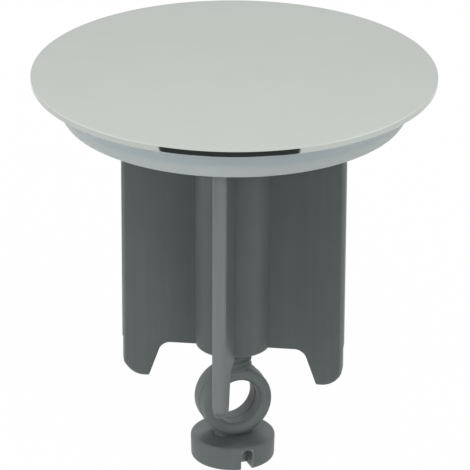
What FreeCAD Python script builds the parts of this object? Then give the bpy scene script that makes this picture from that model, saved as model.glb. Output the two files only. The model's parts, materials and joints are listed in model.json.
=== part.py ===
import FreeCAD
import Part
import math
import os

# Pop-up drain stopper: a chromed cap over a soft seal, a four-vane guide and an eye screw.
# Millimetres, +Z up, origin at the middle of the foot's underside.

# Cap: a shallow dome stamped from brass sheet
cap_diameter = 63.0
cap_sheet = 1.0
cap_rise = 1.3
cap_edge_round = 0.15

# Stud: a brass pad brazed under the cap, with a threaded pin
pad_diameter = 14.0
pad_thickness = 1.2
stud_length = 12.0

# Thread shared by the stud, the guide and the eye screw
thread_diameter = 6.0
thread_pitch = 1.0
thread_depth_share = 0.6134
thread_play = 0.05

# Seal: a soft ring stretched over the rim of the guide's flange
seal_set_in = 0.7
seal_depth = 5.4
seal_lip_set_in = 5.0
seal_lip_width = 2.7
seal_hollow = 0.3
seal_hollow_round = 6.0
seal_lip_round = 0.5
seal_wall = 1.2
seal_web_width = 4.2
seal_play = 0.1

# Guide: tube, four vanes and flange in one moulding
tube_diameter = 11.9
tube_length = 45.05
tube_edge_round = 0.5
flange_thickness = 1.8
flange_drop = 1.2
vane_count = 4
vane_thickness = 2.15
vane_edge_round = 0.3
guide_diameter = 35.4
guide_taper = 0.5

# Toes of the vanes, which reach below the tube on both sides of the lever
toe_reach = 6.15
toe_root_width = 6.2
toe_width = 4.05
toe_outer_round = 3.25
toe_inner_round = 0.8
toe_root_round = 1.9
toe_end_share = 0.88
toe_end_tilts_degrees = (0.0, 30.0)

# Eye screw: notched foot, eye for the lever and threaded shank in one moulding
foot_diameter = 13.4
foot_taper = 0.2
foot_thickness = 4.0
foot_edge_round = 0.55
notch_width = 2.0
notch_reach = 3.2
notch_roof = 0.6
notch_round_share = 0.85
eye_outer_diameter = 11.4
eye_bore_diameter = 7.4
eye_width = 5.8
eye_edge_share = 0.45
eye_turn_degrees = 27.8
root_height = 0.37
root_length = 6.2
root_width = 3.0
neck_length = 0.6
neck_exposed = 3.5
shank_length = 20.0

# One overrun for all cuts
overrun = 1.0

# Radii
cap_radius = cap_diameter / 2
pad_radius = pad_diameter / 2
thread_radius = thread_diameter / 2
pin_radius = thread_radius - thread_play
thread_depth = thread_depth_share * thread_pitch
core_radius = thread_radius - thread_depth
lip_radius = cap_radius - seal_lip_set_in
collar_radius = lip_radius - seal_lip_width
groove_radius = lip_radius - seal_wall
flange_radius = groove_radius - seal_play
web_radius = flange_radius - seal_web_width
tube_radius = tube_diameter / 2
foot_radius = foot_diameter / 2
eye_outer_radius = eye_outer_diameter / 2
eye_bore_radius = eye_bore_diameter / 2
eye_edge_round = eye_edge_share * min(eye_outer_radius - eye_bore_radius, eye_width)

# Heights, stacked from the foot up to the cap
eye_height = foot_thickness + root_height + eye_outer_radius
eye_top = eye_height + eye_outer_radius
shank_bottom = eye_top + neck_length
tube_bottom = eye_top + neck_exposed
tube_top = tube_bottom + tube_length
flange_top = tube_top - flange_drop
flange_bottom = flange_top - flange_thickness
pad_top = tube_top + pad_thickness

# The dome's outer and inner faces are two spheres about one centre
dome_radius = (cap_radius ** 2 + cap_rise ** 2) / (2 * cap_rise)
dome_inner_radius = dome_radius - cap_sheet
dome_centre = pad_top - math.sqrt(dome_inner_radius ** 2 - pad_radius ** 2)

UP = FreeCAD.Vector(0, 0, 1)
ORIGIN = FreeCAD.Vector(0, 0, 0)


def point(radius, height):
    return FreeCAD.Vector(radius, 0, height)


def dome_height(sphere_radius, radius):
    """Height of one of the dome's faces at a distance from the axis."""
    return dome_centre + math.sqrt(sphere_radius ** 2 - radius ** 2)


def rounded_outline(corners):
    """Closed wire through (radius, height, rounding) corners, each rounded by a tangent arc."""
    starts = []
    ends = []
    arcs = []
    for index, (radius, height, rounding) in enumerate(corners):
        here = point(radius, height)
        before = point(*corners[index - 1][:2])
        after = point(*corners[(index + 1) % len(corners)][:2])
        to_before = (before - here).normalize()
        to_after = (after - here).normalize()
        half_angle = to_before.getAngle(to_after) / 2
        reach = rounding / math.tan(half_angle)
        starts.append(here + to_before * reach)
        ends.append(here + to_after * reach)
        bisector = (to_before + to_after).normalize()
        arcs.append(here + bisector * (rounding / math.sin(half_angle) - rounding))
    edges = []
    for index, (radius, height, rounding) in enumerate(corners):
        if rounding > 0:
            edges.append(Part.Arc(starts[index], arcs[index], ends[index]).toShape())
        following = starts[(index + 1) % len(corners)]
        edges.append(Part.makeLine(ends[index], following))
    return Part.Wire(edges)


def turned(wire):
    """Solid of revolution about the vertical axis."""
    return Part.Face(wire).revolve(ORIGIN, UP, 360)


def make_cap():
    """Dome of even sheet, with the upper edge of its rim rounded."""
    rim_top = dome_height(dome_radius, cap_radius)
    rim_bottom = dome_height(dome_inner_radius, cap_radius)
    half_radius = cap_radius / 2
    upper = Part.Arc(
        point(0, dome_centre + dome_radius),
        point(half_radius, dome_height(dome_radius, half_radius)),
        point(cap_radius, rim_top),
    )
    edge = Part.makeLine(point(cap_radius, rim_top), point(cap_radius, rim_bottom))
    lower = Part.Arc(
        point(cap_radius, rim_bottom),
        point(half_radius, dome_height(dome_inner_radius, half_radius)),
        point(0, dome_centre + dome_inner_radius),
    )
    axis = Part.makeLine(point(0, dome_centre + dome_inner_radius), point(0, dome_centre + dome_radius))
    dome = turned(Part.Wire([upper.toShape(), edge, lower.toShape(), axis]))
    rim_level = rim_top - cap_edge_round
    rims = [one for one in dome.Edges if one.BoundBox.ZMin > rim_level and one.BoundBox.XMax > pad_radius]
    rims = [one for one in rims if one.BoundBox.ZLength < cap_edge_round]
    return dome.makeFillet(cap_edge_round, rims)


def make_cap_stud():
    """Brazed pad and threaded pin, with a lead at the pin's end."""
    pin_end = tube_top - stud_length
    return turned(rounded_outline([
        (0, pad_top, 0),
        (pad_radius, pad_top, 0),
        (pad_radius, tube_top, 0),
        (pin_radius, tube_top, 0),
        (pin_radius, pin_end + thread_depth, 0),
        (pin_radius - thread_depth, pin_end, 0),
        (0, pin_end, 0),
    ]))


def make_seal_ring():
    """Web clamped under the cap, groove for the flange and a hollow cone that ends in a lip."""
    outer_radius = cap_radius - seal_set_in
    outer_top = dome_height(dome_inner_radius, outer_radius) - seal_play
    web_top = dome_height(dome_inner_radius, web_radius) - seal_play
    lip_height = dome_height(dome_inner_radius, cap_radius) - seal_depth
    middle_radius = (outer_radius + lip_radius) / 2 - seal_hollow
    middle_height = (outer_top + lip_height) / 2 + seal_hollow
    return turned(rounded_outline([
        (web_radius, flange_top, 0),
        (groove_radius, flange_top, 0),
        (groove_radius, flange_bottom, 0),
        (collar_radius, flange_bottom, 0),
        (collar_radius, lip_height, seal_lip_round),
        (lip_radius, lip_height, seal_lip_round),
        (middle_radius, middle_height, seal_hollow_round),
        (outer_radius, outer_top, 0),
        (web_radius, web_top, 0),
    ]))


def make_vane():
    """One vane on +X: a tapered plate with a rounded toe, its outline softened on both faces."""
    toe_bottom = tube_bottom - toe_reach
    top_radius = guide_diameter / 2
    toe_radius = top_radius - guide_taper / 2
    root_radius = toe_radius - toe_root_width
    tip_radius = toe_radius - toe_width
    outer_round = min(toe_outer_round, toe_width - toe_inner_round)
    outline = rounded_outline([
        (0, flange_bottom, 0),
        (0, tube_bottom, 0),
        (root_radius, tube_bottom, toe_root_round),
        (tip_radius, toe_bottom, toe_inner_round),
        (toe_radius, toe_bottom, outer_round),
        (top_radius, flange_bottom, 0),
    ])
    plate = Part.Face(outline).extrude(FreeCAD.Vector(0, vane_thickness, 0))
    plate.translate(FreeCAD.Vector(0, -vane_thickness / 2, 0))
    softened = []
    for edge in plate.Edges:
        box = edge.BoundBox
        runs_along_face = box.YLength < vane_edge_round
        meets_flange = box.ZMin > flange_bottom - vane_edge_round
        meets_axis = box.XMax < vane_edge_round
        if runs_along_face and not meets_flange and not meets_axis:
            softened.append(edge)
    plate = plate.makeFillet(vane_edge_round, softened)
    for tilt in toe_end_tilts_degrees:
        turn = math.radians(tilt)
        touch_radius = toe_radius - outer_round * (1 - math.sin(turn))
        touch_height = toe_bottom + outer_round * (1 - math.cos(turn))
        plate = plate.cut(make_toe_corners(tilt, point(touch_radius, touch_height)))
    return plate


def make_toe_corners(tilt, touch):
    """What is cut away on both sides of a toe to round its end across the vane, along a tangent of it."""
    half = vane_thickness / 2
    round_size = toe_end_share * half
    middle = half - round_size
    run = toe_root_width
    corners = []
    for side in (-1, 1):
        start = middle if side > 0 else -half - overrun
        box = Part.makeBox(2 * run, round_size + overrun, round_size + overrun, FreeCAD.Vector(-run, start, -overrun))
        axis_start = FreeCAD.Vector(-run - overrun, side * middle, round_size)
        rod = Part.makeCylinder(round_size, 2 * (run + overrun), axis_start, FreeCAD.Vector(1, 0, 0))
        corner = box.cut(rod)
        corner.rotate(ORIGIN, FreeCAD.Vector(0, 1, 0), -tilt)
        corner.translate(touch)
        corners.append(corner)
    return corners


def make_guide():
    """Tube with a round flange under its top and vanes set evenly about it, bored right through."""
    moulding = turned(rounded_outline([
        (0, tube_top, 0),
        (0, tube_bottom, 0),
        (tube_radius, tube_bottom, tube_edge_round),
        (tube_radius, flange_bottom, 0),
        (flange_radius, flange_bottom, 0),
        (flange_radius, flange_top, 0),
        (tube_radius, flange_top, 0),
        (tube_radius, tube_top, 0),
    ]))
    vane = make_vane()
    vanes = []
    for index in range(vane_count):
        turned_vane = vane.copy()
        turned_vane.rotate(ORIGIN, UP, 360 * index / vane_count)
        vanes.append(turned_vane)
    moulding = moulding.fuse(vanes)
    bore = Part.makeCylinder(thread_radius, tube_length + 2 * overrun, point(0, tube_bottom - overrun))
    return moulding.cut(bore).removeSplitter()


def make_screw_shank():
    """Threaded shank, with a lead at its upper end."""
    shank_top = shank_bottom + shank_length
    return turned(rounded_outline([
        (0, shank_top, 0),
        (0, shank_bottom, 0),
        (pin_radius, shank_bottom, 0),
        (pin_radius, shank_top - thread_depth, 0),
        (pin_radius - thread_depth, shank_top, 0),
    ]))


def make_screw_eye():
    """Foot notched on two sides, root, eye and neck, with the notches along the eye's bore."""
    foot = turned(rounded_outline([
        (0, foot_thickness, 0),
        (0, 0, 0),
        (foot_radius - foot_taper / 2, 0, foot_edge_round),
        (foot_radius, foot_thickness, foot_edge_round),
    ]))
    along = FreeCAD.Vector(0, 1, 0)
    eye_start = FreeCAD.Vector(0, -eye_width / 2, eye_height)
    eye = Part.makeCylinder(eye_outer_radius, eye_width, eye_start, along)
    hole = Part.makeCylinder(eye_bore_radius, eye_width, eye_start, along)
    eye = eye.cut(hole)
    rims = [one for one in eye.Edges if one.BoundBox.YLength < eye_edge_round]
    eye = eye.makeFillet(eye_edge_round, rims)
    middle_radius = (eye_outer_radius + eye_bore_radius) / 2
    root_top = eye_height - middle_radius
    root_start = FreeCAD.Vector(-root_length / 2, -root_width / 2, foot_thickness / 2)
    root = Part.makeBox(root_length, root_width, root_top - foot_thickness / 2, root_start)
    neck_start = eye_height + middle_radius
    neck = Part.makeCylinder(core_radius, shank_bottom - neck_start, point(0, neck_start))
    moulding = foot.fuse([eye, root, neck])
    moulding = moulding.cut(make_notches()).removeSplitter()
    moulding.rotate(ORIGIN, UP, eye_turn_degrees)
    return moulding


def make_notches():
    """The two arched notches in the foot's rim, at the front and at the back."""
    half = notch_width / 2
    top = foot_thickness - notch_roof
    arch = rounded_outline([
        (-half, -overrun, 0),
        (half, -overrun, 0),
        (half, top, notch_round_share * half),
        (-half, top, notch_round_share * half),
    ])
    front = Part.Face(arch).extrude(FreeCAD.Vector(0, -notch_reach - overrun, 0))
    front.translate(FreeCAD.Vector(0, notch_reach - foot_radius, 0))
    back = front.copy()
    back.rotate(ORIGIN, UP, 180)
    return [front, back]


pieces = {
    "cap": make_cap(),
    "cap_stud": make_cap_stud(),
    "seal_ring": make_seal_ring(),
    "guide": make_guide(),
    "screw_shank": make_screw_shank(),
    "screw_eye": make_screw_eye(),
}

os.makedirs("parts", exist_ok=True)
for node, shape in pieces.items():
    solid = shape.Solids[0]
    solid.exportStep(os.path.join("parts", node + ".step"))
    print(node, len(shape.Solids), round(solid.Volume, 2), solid.isValid())
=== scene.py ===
import json
import math

import bmesh
import bpy
from mathutils import Matrix, Vector


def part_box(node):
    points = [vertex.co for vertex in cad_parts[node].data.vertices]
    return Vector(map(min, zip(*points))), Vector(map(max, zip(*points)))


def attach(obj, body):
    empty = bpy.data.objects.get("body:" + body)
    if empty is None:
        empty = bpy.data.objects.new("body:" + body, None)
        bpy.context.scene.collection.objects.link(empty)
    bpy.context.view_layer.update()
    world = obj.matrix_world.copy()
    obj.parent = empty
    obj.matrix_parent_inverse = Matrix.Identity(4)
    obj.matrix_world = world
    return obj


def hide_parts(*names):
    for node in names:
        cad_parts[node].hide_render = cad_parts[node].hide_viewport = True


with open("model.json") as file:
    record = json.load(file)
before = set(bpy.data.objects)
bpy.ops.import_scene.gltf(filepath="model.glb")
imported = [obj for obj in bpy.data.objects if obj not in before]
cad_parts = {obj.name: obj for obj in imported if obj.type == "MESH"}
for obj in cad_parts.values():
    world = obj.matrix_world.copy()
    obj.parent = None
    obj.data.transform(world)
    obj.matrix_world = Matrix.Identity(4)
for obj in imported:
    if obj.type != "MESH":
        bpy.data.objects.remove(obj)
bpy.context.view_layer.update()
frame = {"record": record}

# Guide
# The plug's body: one grey polypropylene moulding of a threaded tube, four vanes that slide in the
# drain and a round flange that carries the seal. Its toes reach below the tube, beside the lever.
MM = 0.001
WELD = 0.0001 * MM
SHARP = math.radians(32)
TURN = math.radians(360)
ROUND_STEPS = 6

mounts = {mount["name"]: mount for mount in frame["record"]["mounts"]}
guide_low, guide_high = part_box("guide")
tube_top = guide_high[2]
toe_bottom = guide_low[2]
flange_radius = guide_high[0]
guide_radius = mounts["drain_guide"]["dims"]["r_mm"] * MM
bore_radius = 3.0 * MM
bore_lead = 0.35 * MM
tube_radius = 5.95 * MM
tube_bottom = toe_bottom + 6.15 * MM
tube_edge_round = 0.5 * MM
tube_sides = 144
flange_top = tube_top - 1.2 * MM
flange_bottom = flange_top - 1.8 * MM
flange_edge_round = 0.2 * MM

vane_count = 4
vane_thickness = 2.15 * MM
vane_edge_round = 0.3 * MM
vane_start = tube_radius - 0.3 * MM
vane_sink = 0.5 * MM
toe_root_width = 6.2 * MM
toe_width = 4.05 * MM
toe_radius = guide_radius - 0.25 * MM
toe_root_radius = toe_radius - toe_root_width
toe_tip_radius = toe_radius - toe_width
toe_outer_round = 3.25 * MM
toe_inner_round = 0.8 * MM
toe_root_round = 1.9 * MM
toe_end_round = 0.946 * MM
toe_end_share = 0.98
toe_end_steps = 8
toe_bend = math.radians(50)
toe_bend_steps = 12
toe_step = 0.12 * MM
toe_step_height = toe_bottom + 6.8 * MM

guide_grain = 0.25 * MM
guide_roughness = 0.46
# Painted light: from here out, the vanes' outer edges are painted paler than their shaded faces.
edge_light_start = guide_radius - 0.75 * MM
edge_light_full = guide_radius - 0.4 * MM


def outline(bm, corners, steps):
    """A face in the X-Z plane through (radius, height, rounding) corners, each rounded by its own bevel."""
    points = [Vector((radius, 0, height)) for radius, height, rounding in corners]
    verts = [bm.verts.new(point) for point in points]
    bm.faces.new(verts)
    for index, (radius, height, rounding) in enumerate(corners):
        if rounding == 0:
            continue
        to_before = points[index - 1] - points[index]
        to_after = points[(index + 1) % len(points)] - points[index]
        reach = rounding / math.tan(to_before.angle(to_after) / 2)
        bmesh.ops.bevel(bm, geom=[verts[index]], offset=reach, offset_type="OFFSET", affect="VERTICES",
                        segments=steps, profile=0.5, material=-1)
    return bm.faces[:]


def turn_all(bm, angle, axis="Z"):
    """Turns a whole bmesh about an axis through the origin."""
    bmesh.ops.rotate(bm, verts=bm.verts[:], cent=(0, 0, 0), matrix=Matrix.Rotation(angle, 3, axis))


def move_all(bm, x, y, z):
    """Moves a whole bmesh."""
    bmesh.ops.translate(bm, verts=bm.verts[:], vec=(x, y, z))


def spin_round(bm, sides):
    """Spins a line once round the upright axis and welds the seam and the poles."""
    bmesh.ops.spin(bm, geom=bm.verts[:] + bm.edges[:], cent=(0, 0, 0), axis=(0, 0, 1), angle=TURN,
                   steps=sides, use_merge=True)
    bmesh.ops.remove_doubles(bm, verts=bm.verts[:], dist=WELD)


def turned(corners, sides, steps=ROUND_STEPS):
    """An outline spun round the upright axis into a closed skin."""
    bm = bmesh.new()
    bmesh.ops.delete(bm, geom=outline(bm, corners, steps), context="FACES_ONLY")
    on_axis = [edge for edge in bm.edges if all(vert.co.x < WELD for vert in edge.verts)]
    bmesh.ops.delete(bm, geom=on_axis, context="EDGES")
    spin_round(bm, sides)
    bmesh.ops.recalc_face_normals(bm, faces=bm.faces[:])
    return bm


def pressed_plate(corners, thickness, steps=ROUND_STEPS):
    """An outline pressed to a thickness, half of it on each side of the X-Z plane."""
    bm = bmesh.new()
    pressed = bmesh.ops.extrude_face_region(bm, geom=outline(bm, corners, steps))
    moved = [part for part in pressed["geom"] if isinstance(part, bmesh.types.BMVert)]
    bmesh.ops.translate(bm, verts=moved, vec=(0, thickness, 0))
    move_all(bm, 0, -thickness / 2, 0)
    bmesh.ops.recalc_face_normals(bm, faces=bm.faces[:])
    return bm


def loose_object(name, bm):
    """An object that holds a bmesh."""
    mesh = bpy.data.meshes.new(name)
    bm.to_mesh(mesh)
    bm.free()
    thing = bpy.data.objects.new(name, mesh)
    bpy.context.scene.collection.objects.link(thing)
    return thing


def finished_bmesh(thing):
    """A bmesh of an object with its modifiers applied; the object itself is taken away."""
    bpy.context.view_layer.update()
    mesh = bpy.data.meshes.new_from_object(thing.evaluated_get(bpy.context.evaluated_depsgraph_get()))
    bm = bmesh.new()
    bm.from_mesh(mesh)
    bpy.data.meshes.remove(mesh)
    bpy.data.objects.remove(thing)
    return bm


def moulded(base, others, operation="UNION"):
    """Joins bmeshes to a base, or cuts them from it, and gives one closed skin."""
    body = loose_object("moulding", base)
    tools = [loose_object("tool", other) for other in others]
    for tool in tools:
        step = body.modifiers.new("join", "BOOLEAN")
        step.object = tool
        step.operation = operation
        step.solver = "EXACT"
    result = finished_bmesh(body)
    for tool in tools:
        bpy.data.objects.remove(tool)
    bmesh.ops.remove_doubles(result, verts=result.verts[:], dist=WELD)
    bmesh.ops.dissolve_degenerate(result, edges=result.edges[:], dist=WELD)
    return result


def make_piece(name, bm, material, body, slot, *nodes):
    """The finished piece: shaded smooth between sharp edges, riding on its body in place of its nodes."""
    for face in bm.faces:
        face.smooth = True
    for edge in bm.edges:
        edge.smooth = edge.calc_face_angle(0) < SHARP
    piece = loose_object(name, bm)
    piece.data.materials.append(material)
    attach(piece, body)
    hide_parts(*nodes)


def linear(colour):
    """An sRGB hex colour as the linear colour that a shader takes."""
    shares = [int(colour[start:start + 2], 16) / 255 for start in (1, 3, 5)]
    red_green_blue = [
        share / 12.92 if share <= 0.04045 else ((share + 0.055) / 1.055) ** 2.4
        for share in shares
    ]
    return red_green_blue + [1]


def add_node(tree, kind, values=None, links=None, **settings):
    """Adds a node with its settings, its fixed inputs and the outputs that its other inputs take."""
    node = tree.nodes.new(kind)
    for key, value in settings.items():
        setattr(node, key, value)
    for socket, value in (values or {}).items():
        node.inputs[socket].default_value = value
    for socket, source in (links or {}).items():
        tree.links.new(source, node.inputs[socket])
    return node


def empty_material(name):
    """A material with nothing in it but its output."""
    material = bpy.data.materials.new(name)
    material.use_nodes = True
    material.node_tree.nodes.clear()
    return material, add_node(material.node_tree, "ShaderNodeOutputMaterial")


def painted_light_on_vane_edges(tree, place):
    """How far a point of the guide lies out at the vanes' edges, which slide in the drain. There the guide
    is painted paler, as painted light on the edges that stand out of the shade under the cap.
    """
    level = add_node(tree, "ShaderNodeVectorMath", {1: (1, 1, 0)}, {0: place}, operation="MULTIPLY")
    distance = add_node(tree, "ShaderNodeVectorMath", {}, {0: level.outputs["Vector"]}, operation="LENGTH")
    reached = add_node(tree, "ShaderNodeMapRange", {"From Min": edge_light_start, "From Max": edge_light_full},
                       {"Value": distance.outputs["Value"]}, interpolation_type="SMOOTHSTEP")
    return reached.outputs["Result"]


def moulded_polypropylene(name, dark, light, grain_size, roughness, painted_light_colour, painted_light_mask):
    """Satin polypropylene: the tool's fine grain breaks up its gloss, and the melt leaves faint clouds and
    flow lines that run the way the moulding filled. Where a mask says, it is painted paler in streaks, as
    painted light. The real grain is too fine to show, so it is drawn a few times coarser."""
    cloud_size = 7 * MM
    flow_width = 0.9 * MM
    flow_length = 30 * MM
    grain_depth = 0.02 * MM
    gloss_spread = 0.07
    material, output = empty_material(name)
    tree = material.node_tree
    place = add_node(tree, "ShaderNodeTexCoord").outputs["Object"]
    clouds = add_node(tree, "ShaderNodeTexNoise", {"Scale": 1 / cloud_size, "Detail": 3, "Roughness": 0.55},
                      {"Vector": place})
    stretch = add_node(tree, "ShaderNodeMapping",
                       {"Scale": (1 / flow_width, 1 / flow_width, 1 / flow_length)}, {"Vector": place})
    flow = add_node(tree, "ShaderNodeTexNoise", {"Scale": 1, "Detail": 2},
                    {"Vector": stretch.outputs["Vector"]})
    tone = add_node(tree, "ShaderNodeMix", {"Factor": 0.4},
                    {"A": clouds.outputs["Fac"], "B": flow.outputs["Fac"]})
    shades = add_node(tree, "ShaderNodeValToRGB", {}, {"Fac": tone.outputs["Result"]})
    shades.color_ramp.elements[0].position = 0.3
    shades.color_ramp.elements[0].color = linear(dark)
    shades.color_ramp.elements[1].position = 0.7
    shades.color_ramp.elements[1].color = linear(light)
    # Painted light: where the mask says, the colour is mixed toward a paler one, broken into streaks.
    streaks = add_node(tree, "ShaderNodeMapRange", {"From Min": 0.3, "From Max": 0.6, "To Min": 0.75},
                       {"Value": flow.outputs["Fac"]})
    painted_light_share = add_node(tree, "ShaderNodeMath", {}, {0: painted_light_mask(tree, place), 1: streaks.outputs["Result"]},
                      operation="MULTIPLY")
    colour = add_node(tree, "ShaderNodeMix", {"B": linear(painted_light_colour)},
                      {"Factor": painted_light_share.outputs[0], "A": shades.outputs["Color"]}, data_type="RGBA")
    grain = add_node(tree, "ShaderNodeTexNoise", {"Scale": 1 / grain_size, "Detail": 2}, {"Vector": place})
    gloss = add_node(tree, "ShaderNodeMapRange",
                     {"To Min": roughness - gloss_spread, "To Max": roughness + gloss_spread},
                     {"Value": grain.outputs["Fac"]})
    relief = add_node(tree, "ShaderNodeBump", {"Strength": 0.12, "Distance": grain_depth},
                      {"Height": grain.outputs["Fac"]})
    plastic = add_node(tree, "ShaderNodeBsdfPrincipled", {"IOR": 1.49, "Specular IOR Level": 0.3},
                       {"Base Color": colour.outputs["Result"], "Roughness": gloss.outputs["Result"],
                        "Normal": relief.outputs["Normal"]})
    tree.links.new(plastic.outputs["BSDF"], output.inputs["Surface"])
    return material


def toe_corner(turn):
    """What the mould leaves out along one side of a toe's end, which is rounded across the vane: a strip
    that runs under the toe, bends round its outer corner and then goes straight on. In its section the
    round stops just short of the corners beside it."""
    half = vane_thickness / 2
    reach = toe_end_round + vane_edge_round
    bm = bmesh.new()
    section = outline(bm, [
        (half + reach, -reach, 0),
        (half + reach, toe_end_round, 0),
        (half, toe_end_round, 0),
        (half, 0, toe_end_round * toe_end_share),
        (half - toe_end_round, 0, 0),
        (half - toe_end_round, -reach, 0),
    ], toe_end_steps)
    bmesh.ops.delete(bm, geom=section, context="FACES_ONLY")
    bend = Vector((toe_radius - toe_outer_round, 0, toe_bottom + toe_outer_round))
    turn_all(bm, turn)
    move_all(bm, bend.x - toe_root_width, 0, toe_bottom)
    under_toe = Vector((toe_root_width, 0, 0))
    straight_on = Vector((math.cos(toe_bend), 0, math.sin(toe_bend))) * toe_root_width
    last = bm.verts[:] + bm.edges[:]
    for angle, move, steps in (
        (0, under_toe, 1),
        (-toe_bend, Vector(), toe_bend_steps),
        (0, straight_on, 1),
    ):
        leg = bmesh.ops.spin(bm, geom=last, cent=bend, axis=(0, 1, 0), angle=angle, dvec=move, steps=steps)
        last = leg["geom_last"]
    bmesh.ops.holes_fill(bm, edges=bm.edges[:], sides=0)
    bmesh.ops.recalc_face_normals(bm, faces=bm.faces[:])
    return bm


def make_vane():
    """One vane: a plate with a toe, softened along its outline and rounded across at the toe's end."""
    bm = pressed_plate([
        (vane_start, flange_bottom + vane_sink, 0),
        (vane_start, tube_bottom, 0),
        (toe_root_radius, tube_bottom, toe_root_round),
        (toe_tip_radius, toe_bottom, toe_inner_round),
        (toe_radius, toe_bottom, toe_outer_round),
        (toe_radius, toe_step_height, 0),
        (toe_radius + toe_step, toe_step_height, 0),
        (guide_radius, flange_bottom + vane_sink, 0),
    ], vane_thickness)
    softened = []
    for edge in bm.edges:
        ends = [vert.co for vert in edge.verts]
        along_face = abs(ends[0].y - ends[1].y) < WELD
        at_tube = max(end.x for end in ends) < vane_start + WELD
        at_flange = min(end.z for end in ends) > flange_bottom
        if along_face and not at_tube and not at_flange:
            softened.append(edge)
    bmesh.ops.bevel(bm, geom=softened, offset=vane_edge_round, offset_type="OFFSET", affect="EDGES",
                    segments=4, profile=0.5, material=-1, clamp_overlap=False)
    return moulded(bm, [toe_corner(TURN / 4), toe_corner(-TURN / 4)], "DIFFERENCE")


tube = turned([
    (bore_radius + bore_lead, tube_top, 0),
    (tube_radius, tube_top, tube_edge_round),
    (tube_radius, flange_top, 0),
    (flange_radius, flange_top, flange_edge_round),
    (flange_radius, flange_bottom, flange_edge_round),
    (tube_radius, flange_bottom, 0),
    (tube_radius, tube_bottom, tube_edge_round),
    (bore_radius + bore_lead, tube_bottom, 0),
    (bore_radius, tube_bottom + bore_lead, 0),
    (bore_radius, tube_top - bore_lead, 0),
], tube_sides)
vane = make_vane()
vanes = []
for number in range(vane_count):
    turn_all(vane, TURN / vane_count)
    vanes.append(vane.copy())
vane.free()
# The vanes' outer edges are painted paler (#7B8282), as painted light on edges that stand out of the cap's
# shade.
guide_plastic = moulded_polypropylene("grey_polypropylene_guide", "#5C6363", "#646B6B", guide_grain,
                                      guide_roughness, "#7B8282", painted_light_on_vane_edges)
make_piece("guide_moulding", moulded(tube, vanes), guide_plastic, "stopper", "guide_plastic", "guide")

# Seal
# A soft ring of translucent vinyl, moulded pale and bluish, with a web that the cap clamps and a groove
# that is stretched over the guide's flange. Its hollow cone ends in a lip that closes on the drain.
cap_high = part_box("cap")[1]
cap_radius = cap_high[0]
cap_top = cap_high[2]
cap_sheet = 1.0 * MM
cap_rise = 1.3 * MM
dome_radius = (cap_radius ** 2 + cap_rise ** 2) / (2 * cap_rise)

seal_low, seal_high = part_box("seal_ring")
seal_radius = seal_high[0]
lip_height = seal_low[2]
lip_radius = cap_radius - 5.0 * MM
lip_width = 2.7 * MM
lip_round = 0.5 * MM
seal_wall = 1.2 * MM
seal_play = 0.1 * MM
seal_hollow = 0.3 * MM
seal_hollow_round = 6.0 * MM
seal_round_steps = 8
seal_sides = 192
web_width = 4.2 * MM


def dome_drop(radius):
    """How far the dome lies below its top at a distance from the axis."""
    return dome_radius - math.sqrt(dome_radius ** 2 - radius ** 2)


def under_cap(radius):
    """Height of the seal's upper face, just below the cap."""
    return cap_top - cap_sheet - dome_drop(radius) - seal_play


def soft_vinyl(name):
    """Translucent vinyl: light enters, scatters and comes out softened, and the satin skin is a little
    greasy. Its upper band, above the flange's lower edge, is painted darker and bluer as painted shade under
    the cap's rim, and the lip stays pale."""
    cloud_size = 5 * MM
    cloud_share = 0.25
    fade = 0.9 * MM
    ripple_size = 0.6 * MM
    ripple_depth = 0.03 * MM
    light_depth = 1.2 * MM
    material, output = empty_material(name)
    tree = material.node_tree
    place = add_node(tree, "ShaderNodeTexCoord").outputs["Object"]
    clouds = add_node(tree, "ShaderNodeTexNoise", {"Scale": 1 / cloud_size, "Detail": 2}, {"Vector": place})
    height = add_node(tree, "ShaderNodeSeparateXYZ", {}, {"Vector": place})
    # Painted shade: the seal's band above the flange's lower edge, under the cap's rim, is coloured darker
    # and bluer.
    painted_shade_band = add_node(tree, "ShaderNodeMapRange",
                           {"From Min": flange_bottom - fade, "From Max": flange_bottom + fade},
                           {"Value": height.outputs["Z"]}, interpolation_type="SMOOTHSTEP")
    cloudy = add_node(tree, "ShaderNodeMath", {1: cloud_share}, {0: clouds.outputs["Fac"]},
                      operation="MULTIPLY")
    shade_and_clouds = add_node(tree, "ShaderNodeMath", {},
                             {0: painted_shade_band.outputs["Result"], 1: cloudy.outputs[0]}, operation="ADD")
    # The lip's pale colour, and the darker, bluer painted shade of the upper band, with random clouds.
    shade_and_cloud_colour = add_node(tree, "ShaderNodeValToRGB", {}, {"Fac": shade_and_clouds.outputs[0]})
    shade_and_cloud_colour.color_ramp.elements[0].position = 0.1
    shade_and_cloud_colour.color_ramp.elements[0].color = linear("#B5BDBD")
    shade_and_cloud_colour.color_ramp.elements[1].position = 1.0
    shade_and_cloud_colour.color_ramp.elements[1].color = linear("#A6B3B8")
    ripple = add_node(tree, "ShaderNodeTexNoise", {"Scale": 1 / ripple_size, "Detail": 2}, {"Vector": place})
    gloss = add_node(tree, "ShaderNodeMapRange", {"To Min": 0.36, "To Max": 0.5},
                     {"Value": ripple.outputs["Fac"]})
    relief = add_node(tree, "ShaderNodeBump", {"Strength": 0.08, "Distance": ripple_depth},
                      {"Height": ripple.outputs["Fac"]})
    vinyl = add_node(tree, "ShaderNodeBsdfPrincipled",
                     {"IOR": 1.5, "Subsurface Weight": 0.35, "Subsurface Scale": light_depth,
                      "Subsurface Radius": (0.7, 0.9, 1.0)},
                     {"Base Color": shade_and_cloud_colour.outputs["Color"], "Roughness": gloss.outputs["Result"],
                      "Normal": relief.outputs["Normal"]})
    tree.links.new(vinyl.outputs["BSDF"], output.inputs["Surface"])
    return material


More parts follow.
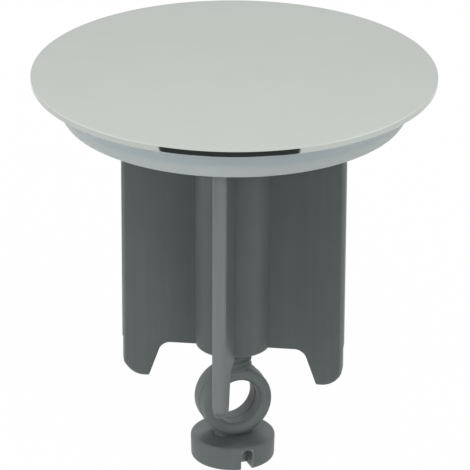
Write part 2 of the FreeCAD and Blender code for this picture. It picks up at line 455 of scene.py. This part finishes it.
groove_radius = lip_radius - seal_wall
web_radius = flange_radius - web_width
cone_radius = (seal_radius + lip_radius) / 2 - seal_hollow
cone_height = (under_cap(seal_radius) + lip_height) / 2 + seal_hollow
seal = turned([
    (web_radius, flange_top, 0),
    (groove_radius, flange_top, 0),
    (groove_radius, flange_bottom, 0),
    (lip_radius - lip_width, flange_bottom, 0),
    (lip_radius - lip_width, lip_height, lip_round),
    (lip_radius, lip_height, lip_round),
    (cone_radius, cone_height, seal_hollow_round),
    (seal_radius, under_cap(seal_radius), 0),
    (web_radius, under_cap(web_radius), 0),
], seal_sides, seal_round_steps)
make_piece("seal", seal, soft_vinyl("pale_vinyl"), "stopper", "soft_seal", "seal_ring")

# Stud
# The fixing under the cap: a turned brass pad brazed to the dome, with a threaded pin that screws
# into the top of the guide's tube. It is hidden once the plug is put together.
thread_pitch = 1.0 * MM
thread_radius = 2.95 * MM
thread_depth_share = 0.6134
thread_depth = thread_depth_share * thread_pitch
flank_angle = math.radians(30)
flank_run = thread_depth * math.tan(flank_angle)
crest_width = thread_pitch / 8
crest_round = 0.05 * MM
thread_sides = 48
spare_turns = 2
stud_low, stud_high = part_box("cap_stud")
pad_radius = stud_high[0]
pad_round = 0.15 * MM
pad_round_steps = 3
pad_sides = 96


def threaded_rod(bottom, top, phase):
    """A right-hand thread: one pitch of its profile climbs as it spins, and both ends are cut level."""
    bm = bmesh.new()
    core = thread_radius - thread_depth
    half_root = (thread_pitch - crest_width - 2 * flank_run) / 2
    profile = [
        (core, 0),
        (core, half_root),
        (thread_radius, half_root + flank_run),
        (thread_radius, half_root + flank_run + crest_width),
        (core, thread_pitch - half_root),
        (core, thread_pitch),
    ]
    verts = [bm.verts.new((radius, 0, height)) for radius, height in profile]
    for lower, upper in zip(verts, verts[1:]):
        bm.edges.new((lower, upper))
    bmesh.ops.bevel(bm, geom=verts[1:-1], offset=crest_round, offset_type="OFFSET", affect="VERTICES",
                    segments=2, profile=0.5, material=-1)
    turns = math.ceil((top - bottom) / thread_pitch) + spare_turns
    bmesh.ops.spin(bm, geom=bm.verts[:] + bm.edges[:], cent=(0, 0, 0), axis=(0, 0, 1), angle=TURN * turns,
                   dvec=(0, 0, thread_pitch / thread_sides), steps=thread_sides * turns)
    bmesh.ops.remove_doubles(bm, verts=bm.verts[:], dist=WELD)
    turn_all(bm, phase)
    move_all(bm, 0, 0, bottom - spare_turns / 2 * thread_pitch)
    for height, outwards in ((bottom, -1), (top, 1)):
        bmesh.ops.bisect_plane(bm, geom=bm.verts[:] + bm.edges[:] + bm.faces[:], plane_co=(0, 0, height),
                               plane_no=(0, 0, outwards), dist=WELD, clear_outer=True)
        rim = [edge for edge in bm.edges if edge.is_boundary]
        rim = [edge for edge in rim if all(abs(vert.co.z - height) < WELD for vert in edge.verts)]
        bmesh.ops.edgeloop_fill(bm, edges=rim)
    bmesh.ops.recalc_face_normals(bm, faces=bm.faces[:])
    return bm


def turned_brass(name):
    """Bare turned brass: rings from the tool stretch its highlight, and air has dulled it in patches. The
    real rings are finer, and are drawn wide enough to show. A wave texture runs 20 radians to a unit."""
    ring_spacing = 0.754 * MM
    ring_depth = 0.01 * MM
    wave_radians = 20
    patch_size = 3 * MM
    material, output = empty_material(name)
    tree = material.node_tree
    place = add_node(tree, "ShaderNodeTexCoord").outputs["Object"]
    patches = add_node(tree, "ShaderNodeTexNoise", {"Scale": 1 / patch_size, "Detail": 3}, {"Vector": place})
    metal = add_node(tree, "ShaderNodeValToRGB", {}, {"Fac": patches.outputs["Fac"]})
    metal.color_ramp.elements[0].position = 0.3
    metal.color_ramp.elements[0].color = linear("#B08D4C")
    metal.color_ramp.elements[1].position = 0.7
    metal.color_ramp.elements[1].color = linear("#C9A866")
    rings = add_node(tree, "ShaderNodeTexWave",
                     {"Scale": TURN / wave_radians / ring_spacing, "Distortion": 0.4}, {"Vector": place},
                     wave_type="RINGS", rings_direction="Z")
    gloss = add_node(tree, "ShaderNodeMapRange", {"To Min": 0.25, "To Max": 0.42},
                     {"Value": patches.outputs["Fac"]})
    relief = add_node(tree, "ShaderNodeBump", {"Strength": 0.15, "Distance": ring_depth},
                      {"Height": rings.outputs["Fac"]})
    brass = add_node(tree, "ShaderNodeBsdfPrincipled", {"Metallic": 1},
                     {"Base Color": metal.outputs["Color"], "Roughness": gloss.outputs["Result"],
                      "Normal": relief.outputs["Normal"]})
    tree.links.new(brass.outputs["BSDF"], output.inputs["Surface"])
    return material


pad = turned([
    (0, stud_high[2], 0),
    (pad_radius, stud_high[2], 0),
    (pad_radius, tube_top, pad_round),
    (0, tube_top, 0),
], pad_sides, pad_round_steps)
pin = threaded_rod(stud_low[2], tube_top + (stud_high[2] - tube_top) / 2, 0)
make_piece("stud", moulded(pad, [pin]), turned_brass("turned_brass"), "stopper", "stud_brass", "cap_stud")

# Cap
# The lid that shows in the basin: a shallow dome stamped from brass sheet, its rim sheared upright and
# its upper edge polished round, then plated with bright chrome.
cap_edge_round = 0.18 * MM
cap_burr_round = 0.1 * MM
cap_sides = 256
dome_rings = 48


def bright_chrome(name):
    """Polished chrome plate: a cool grey mirror with the faintest haze, where polishing left wide shallow
    waves and hair scratches too fine to see one by one."""
    haze_size = 9 * MM
    wave_size = 14 * MM
    wave_depth = 0.02 * MM
    material, output = empty_material(name)
    tree = material.node_tree
    place = add_node(tree, "ShaderNodeTexCoord").outputs["Object"]
    haze = add_node(tree, "ShaderNodeTexNoise", {"Scale": 1 / haze_size, "Detail": 4, "Roughness": 0.6},
                    {"Vector": place})
    plate = add_node(tree, "ShaderNodeValToRGB", {}, {"Fac": haze.outputs["Fac"]})
    plate.color_ramp.elements[0].position = 0.25
    plate.color_ramp.elements[0].color = linear("#C6CCC6")
    plate.color_ramp.elements[1].position = 0.75
    plate.color_ramp.elements[1].color = linear("#C9CFC9")
    gloss = add_node(tree, "ShaderNodeMapRange", {"To Min": 0.05, "To Max": 0.085},
                     {"Value": haze.outputs["Fac"]})
    waves = add_node(tree, "ShaderNodeTexNoise", {"Scale": 1 / wave_size, "Detail": 1}, {"Vector": place})
    relief = add_node(tree, "ShaderNodeBump", {"Strength": 0.1, "Distance": wave_depth},
                      {"Height": waves.outputs["Fac"]})
    chrome = add_node(tree, "ShaderNodeBsdfPrincipled", {"Metallic": 1},
                      {"Base Color": plate.outputs["Color"], "Roughness": gloss.outputs["Result"],
                       "Normal": relief.outputs["Normal"]})
    tree.links.new(chrome.outputs["BSDF"], output.inputs["Surface"])
    return material


disc = bmesh.new()
rim_points = [disc.verts.new(place) for place in (
    (0, 0, cap_top),
    (cap_radius, 0, cap_top),
    (cap_radius, 0, cap_top - cap_sheet),
    (0, 0, cap_top - cap_sheet),
)]
for first, second in zip(rim_points, rim_points[1:]):
    disc.edges.new((first, second))
bmesh.ops.bevel(disc, geom=[rim_points[1]], offset=cap_edge_round, offset_type="OFFSET", affect="VERTICES",
                segments=8, profile=0.5, material=-1)
bmesh.ops.bevel(disc, geom=[rim_points[2]], offset=cap_burr_round, offset_type="OFFSET", affect="VERTICES",
                segments=3, profile=0.5, material=-1)
faces_of_disc = [edge for edge in disc.edges if edge.calc_length() > cap_radius / 2]
bmesh.ops.subdivide_edges(disc, edges=faces_of_disc, cuts=dome_rings)
spin_round(disc, cap_sides)
for vert in disc.verts:
    vert.co.z -= dome_drop(math.hypot(vert.co.x, vert.co.y))
bmesh.ops.recalc_face_normals(disc, faces=disc.faces[:])
make_piece("cap_lid", disc, bright_chrome("bright_chrome"), "stopper", "chrome_plate", "cap")

# Eye screw
# One grey moulding under the guide: a notched foot, an eye that takes the lever's end and a threaded
# shank that screws into the tube, to set how far the plug rises. The mould parted through the eye.
eye_mount = mounts["lever_eye"]
eye_height = eye_mount["pos_m"][2]
eye_turn = math.atan2(eye_mount["axis"][0], -eye_mount["axis"][1])
eye_bore = eye_mount["dims"]["r_mm"] * MM
eye_radius = 5.7 * MM
eye_middle = (eye_bore + eye_radius) / 2
eye_width = 5.8 * MM
eye_edge_round = 0.9 * MM
eye_sides = 128
flash_height = 0.09 * MM
flash_width = 0.6 * MM
flash_top_width = 0.34 * MM
foot_radius = 6.7 * MM
foot_draft = 0.1 * MM
foot_height = 4.0 * MM
foot_edge_round = 0.55 * MM
foot_sides = 128
notch_width = 2.0 * MM
notch_reach = 3.2 * MM
notch_top = foot_height - 0.6 * MM
notch_round = 0.85 * MM
notch_round_steps = 8
notch_mouth = 0.2 * MM
notch_skin = 0.03 * MM
mouth_inner_share = 0.98
root_length = 6.2 * MM
root_width = 3.0 * MM
root_top = eye_height - eye_middle
root_round = 1.3 * MM
thread_start = 0.3 * MM
thread_phase = math.radians(-6)
shank_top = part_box("screw_shank")[1][2]
screw_grain = 0.2 * MM
screw_roughness = 0.44


def make_eye():
    """The ring of the eye about its own level axis, with a thread of flash round its middle, in and out."""
    half = eye_width / 2
    bm = turned([
        (eye_bore, -half, eye_edge_round),
        (eye_radius, -half, eye_edge_round),
        (eye_radius, -flash_width / 2, 0),
        (eye_radius + flash_height, -flash_top_width / 2, 0),
        (eye_radius + flash_height, flash_top_width / 2, 0),
        (eye_radius, flash_width / 2, 0),
        (eye_radius, half, eye_edge_round),
        (eye_bore, half, eye_edge_round),
        (eye_bore, flash_width / 2, 0),
        (eye_bore - flash_height, flash_top_width / 2, 0),
        (eye_bore - flash_height, -flash_top_width / 2, 0),
        (eye_bore, -flash_width / 2, 0),
    ], eye_sides)
    turn_all(bm, TURN / 4, "X")
    move_all(bm, 0, 0, eye_height)
    return bm


def foot_notch(turn):
    """The two cores that leave the arched notch in one side of the foot: the notch, and its flared mouth,
    which stands half out of the foot and widens on each side by as much as it is thick. The mouth's inner
    end is a little narrower than the notch, so that their walls don't coincide."""
    arch = [
        (-notch_width / 2, -foot_height, 0),
        (notch_width / 2, -foot_height, 0),
        (notch_width / 2, notch_top, notch_round),
        (-notch_width / 2, notch_top, notch_round),
    ]
    flare = 2 * notch_mouth
    flared = (1 + 2 * flare / notch_width, 1, 1 + flare / notch_top)
    notch = pressed_plate(arch, 2 * notch_reach, notch_round_steps)
    mouth = pressed_plate(arch, 2 * notch_mouth, notch_round_steps)
    inner = [vert for vert in mouth.verts if vert.co.y > 0]
    outer = [vert for vert in mouth.verts if vert.co.y < 0]
    bmesh.ops.scale(mouth, verts=inner, vec=(mouth_inner_share, 1, mouth_inner_share))
    bmesh.ops.scale(mouth, verts=outer, vec=flared)
    for bm in (notch, mouth):
        move_all(bm, 0, -foot_radius, 0)
        turn_all(bm, turn)
    return [notch, mouth]


def painted_light_in_notches(tree, place):
    """Whether a point of the screw lies on the walls of a notch, which are painted paler as painted light
    reaching into the notch.
    """
    ahead = add_node(tree, "ShaderNodeVectorRotate", {"Angle": -eye_turn}, {"Vector": place},
                     rotation_type="Z_AXIS")
    either_side = add_node(tree, "ShaderNodeVectorMath", {}, {0: ahead.outputs["Vector"]},
                           operation="ABSOLUTE")
    sizes = add_node(tree, "ShaderNodeSeparateXYZ", {}, {"Vector": either_side.outputs["Vector"]})
    within = add_node(tree, "ShaderNodeMath", {1: notch_width / 2 + notch_skin}, {0: sizes.outputs["X"]},
                      operation="LESS_THAN")
    below = add_node(tree, "ShaderNodeMath", {1: notch_top + notch_skin}, {0: sizes.outputs["Z"]},
                     operation="LESS_THAN")
    outside = add_node(tree, "ShaderNodeMath", {1: foot_radius - notch_reach - notch_skin},
                       {0: sizes.outputs["Y"]}, operation="GREATER_THAN")
    in_core = add_node(tree, "ShaderNodeMath", {}, {0: within.outputs[0], 1: below.outputs[0]},
                       operation="MULTIPLY")
    on_wall = add_node(tree, "ShaderNodeMath", {}, {0: in_core.outputs[0], 1: outside.outputs[0]},
                       operation="MULTIPLY")
    return on_wall.outputs[0]


foot = turned([
    (0, foot_height, 0),
    (foot_radius, foot_height, foot_edge_round),
    (foot_radius - foot_draft, 0, foot_edge_round),
    (0, 0, 0),
], foot_sides)
root = bmesh.new()
bmesh.ops.create_cube(root, size=1)
bmesh.ops.scale(root, verts=root.verts[:], vec=(root_length, root_width, root_top - notch_top))
move_all(root, 0, 0, (root_top + notch_top) / 2)
upright = [edge for edge in root.edges if abs(edge.verts[0].co.z - edge.verts[1].co.z) > WELD]
bmesh.ops.bevel(root, geom=upright, offset=root_round, offset_type="OFFSET", affect="EDGES", segments=4,
                profile=0.5, material=-1)
shank = threaded_rod(eye_height + eye_radius - thread_start, shank_top, thread_phase)
eye_screw = moulded(foot, [root, make_eye(), shank])
eye_screw = moulded(eye_screw, foot_notch(0) + foot_notch(TURN / 2), "DIFFERENCE")
turn_all(eye_screw, eye_turn)
# The notch walls are painted paler (#8C9393), as painted light reaching into the notches.
screw_plastic = moulded_polypropylene("grey_polypropylene_screw", "#636A6A", "#6B7272", screw_grain,
                                      screw_roughness, "#8C9393", painted_light_in_notches)
make_piece("eye_screw", eye_screw, screw_plastic, "eye", "screw_plastic", "screw_eye", "screw_shank")

# Floor
# A wide pale sheet of card under the plug, just below where the foot comes when its screw is wound out.
# It shows white to the camera and a little greyer in the chrome, and still takes the plug's soft shadow.
floor_size = 6000 * MM
floor_height = -10.5 * MM
floor_shadow = 0.02
floor_mirrored = 0.88


def pale_card(name):
    """Matt card that the camera sees at a plain white, a share of it under shadow, and the chrome a little
    greyer."""
    material, output = empty_material(name)
    tree = material.node_tree
    ray = add_node(tree, "ShaderNodeLightPath")
    seen = add_node(tree, "ShaderNodeMath", {},
                    {0: ray.outputs["Is Camera Ray"], 1: ray.outputs["Is Glossy Ray"]}, operation="MAXIMUM")
    share = add_node(tree, "ShaderNodeMath", {1: 1 - floor_shadow}, {0: seen.outputs[0]},
                     operation="MULTIPLY")
    card = add_node(tree, "ShaderNodeBsdfDiffuse", {"Color": linear("#EDEDEB")})
    level = add_node(tree, "ShaderNodeMix", {"A": 1.0, "B": floor_mirrored},
                     {"Factor": ray.outputs["Is Glossy Ray"]})
    glow = add_node(tree, "ShaderNodeEmission", {"Color": (1, 1, 1, 1)},
                    {"Strength": level.outputs["Result"]})
    mix = add_node(tree, "ShaderNodeMixShader", {},
                   {0: share.outputs[0], 1: card.outputs[0], 2: glow.outputs[0]})
    tree.links.new(mix.outputs[0], output.inputs["Surface"])
    return material


sheet = bmesh.new()
bmesh.ops.create_grid(sheet, x_segments=1, y_segments=1, size=floor_size / 2)
move_all(sheet, 0, 0, floor_height)
floor = loose_object("floor", sheet)
floor.data.materials.append(pale_card("pale_card"))

# Dark flag
# A fan of dark grey card that lies just above the floor in front of the plug and is hidden from the
# camera. The upright rim of the cap mirrors it as the dark line under the cap's edge.
camera_azimuth = math.radians(7.2)
flag_near = 90 * MM
flag_far = 1600 * MM
flag_left = math.radians(-39.5)
flag_right = math.radians(34.7)
flag_height = floor_height + 1.0 * MM
flag_sides = 24


def dark_card(name):
    """Matt card, dark enough to show as a near-black line in the chrome."""
    material, output = empty_material(name)
    card = add_node(material.node_tree, "ShaderNodeBsdfDiffuse", {"Color": linear("#434646")})
    material.node_tree.links.new(card.outputs[0], output.inputs["Surface"])
    return material


fan = bmesh.new()
fan_ends = [fan.verts.new((0, -distance, flag_height)) for distance in (flag_near, flag_far)]
fan_edge = fan.edges.new(fan_ends)
turn_all(fan, camera_azimuth + flag_left)
bmesh.ops.spin(fan, geom=fan_ends + [fan_edge], cent=(0, 0, 0), axis=(0, 0, 1),
               angle=flag_right - flag_left, steps=flag_sides)
flag = loose_object("dark_flag", fan)
flag.visible_camera = False
flag.visible_diffuse = False
flag.visible_shadow = False
flag.data.materials.append(dark_card("dark_card"))

# Light
# Plain soft studio light: a dim room, a low soft box on each side in front of the plug, a weak one above
# the camera and one behind. The chrome mirrors a pale tent with brighter sides instead.
room_light = 0.03
mirrored_horizon = 0.69
mirrored_full = 1.0
mirrored_full_height = 0.58
side_panels = 0.28
panels_start = 0.45
panels_full = 0.75
box_size = 500 * MM
box_distance = 1200 * MM
box_aim = 3 * eye_height

# How far each box is turned from the camera's side, how high it stands, and its watts.
boxes = {
    "left_box": (math.radians(-62), math.radians(12), 5.6),
    "right_box": (math.radians(28), math.radians(20), 5.2),
    "front_box": (math.radians(0), math.radians(50), 2.5),
    "back_box": (math.radians(180), math.radians(50), 9.9),
}

world = bpy.data.worlds.new("room")
bpy.context.scene.world = world
world.use_nodes = True
room = world.node_tree
room.nodes.clear()
ray = add_node(room, "ShaderNodeLightPath")
direction = add_node(room, "ShaderNodeTexCoord").outputs["Generated"]
upwards = add_node(room, "ShaderNodeSeparateXYZ", {}, {"Vector": direction})
mirrored = add_node(room, "ShaderNodeMapRange",
                    {"From Max": mirrored_full_height, "To Min": mirrored_horizon, "To Max": mirrored_full},
                    {"Value": upwards.outputs["Z"]})
aside = add_node(room, "ShaderNodeVectorMath", {1: (math.cos(camera_azimuth), math.sin(camera_azimuth), 0)},
                 {0: direction}, operation="DOT_PRODUCT")
either_side = add_node(room, "ShaderNodeMath", {}, {0: aside.outputs["Value"]}, operation="ABSOLUTE")
panels = add_node(room, "ShaderNodeMapRange",
                  {"From Min": panels_start, "From Max": panels_full, "To Max": side_panels},
                  {"Value": either_side.outputs[0]})
tent = add_node(room, "ShaderNodeMath", {}, {0: mirrored.outputs["Result"], 1: panels.outputs["Result"]},
                operation="ADD")
in_chrome = add_node(room, "ShaderNodeMix", {"A": room_light},
                     {"Factor": ray.outputs["Is Glossy Ray"], "B": tent.outputs[0]})
to_camera = add_node(room, "ShaderNodeMix", {"B": 1.0},
                     {"Factor": ray.outputs["Is Camera Ray"], "A": in_chrome.outputs["Result"]})
glow = add_node(room, "ShaderNodeBackground", {"Color": (1, 1, 1, 1)},
                {"Strength": to_camera.outputs["Result"]})
add_node(room, "ShaderNodeOutputWorld", {}, {"Surface": glow.outputs[0]})

for name, (turn, rise, watts) in boxes.items():
    lamp = bpy.data.lights.new(name, "AREA")
    lamp.size = box_size
    lamp.energy = watts
    box = bpy.data.objects.new(name, lamp)
    towards = Matrix.Rotation(camera_azimuth + turn, 3, "Z") @ Vector((0, math.cos(rise), -math.sin(rise)))
    box.location = Vector((0, 0, box_aim)) - towards * box_distance
    box.rotation_euler = towards.to_track_quat("-Z", "Y").to_euler()
    box.visible_glossy = False
    bpy.context.scene.collection.objects.link(box)

# Camera
# A long lens from in front and above, turned a little to one side of a vane so that the plug stands as
# it does in the picture. It is placed from the middle of the cap's rim.
camera_distance = 800 * MM
camera_elevation = math.radians(21.74)
camera_pitch = math.radians(23.534)
camera_roll = math.radians(0.261)
camera_aside = 0.22 * MM
rim_height = cap_top - cap_rise
sensor_width = 36.0
picture_pixels = 470
focal_pixels = 5174.8

lens = bpy.data.cameras.new("camera")
lens.sensor_width = sensor_width
lens.lens = sensor_width * focal_pixels / picture_pixels
camera = bpy.data.objects.new("camera", lens)
backwards = Vector((0, -math.cos(camera_elevation), math.sin(camera_elevation)))
heading = Matrix.Rotation(camera_azimuth, 4, "Z")
stand = heading @ (backwards * camera_distance + Vector((camera_aside, 0, 0))) + Vector((0, 0, rim_height))
tilt = Matrix.Rotation(TURN / 4 - camera_pitch, 4, "X") @ Matrix.Rotation(camera_roll, 4, "Z")
camera.matrix_world = Matrix.Translation(stand) @ heading @ tilt
bpy.context.scene.collection.objects.link(camera)
bpy.context.scene.camera = camera
bpy.context.scene.view_settings.view_transform = "Standard"
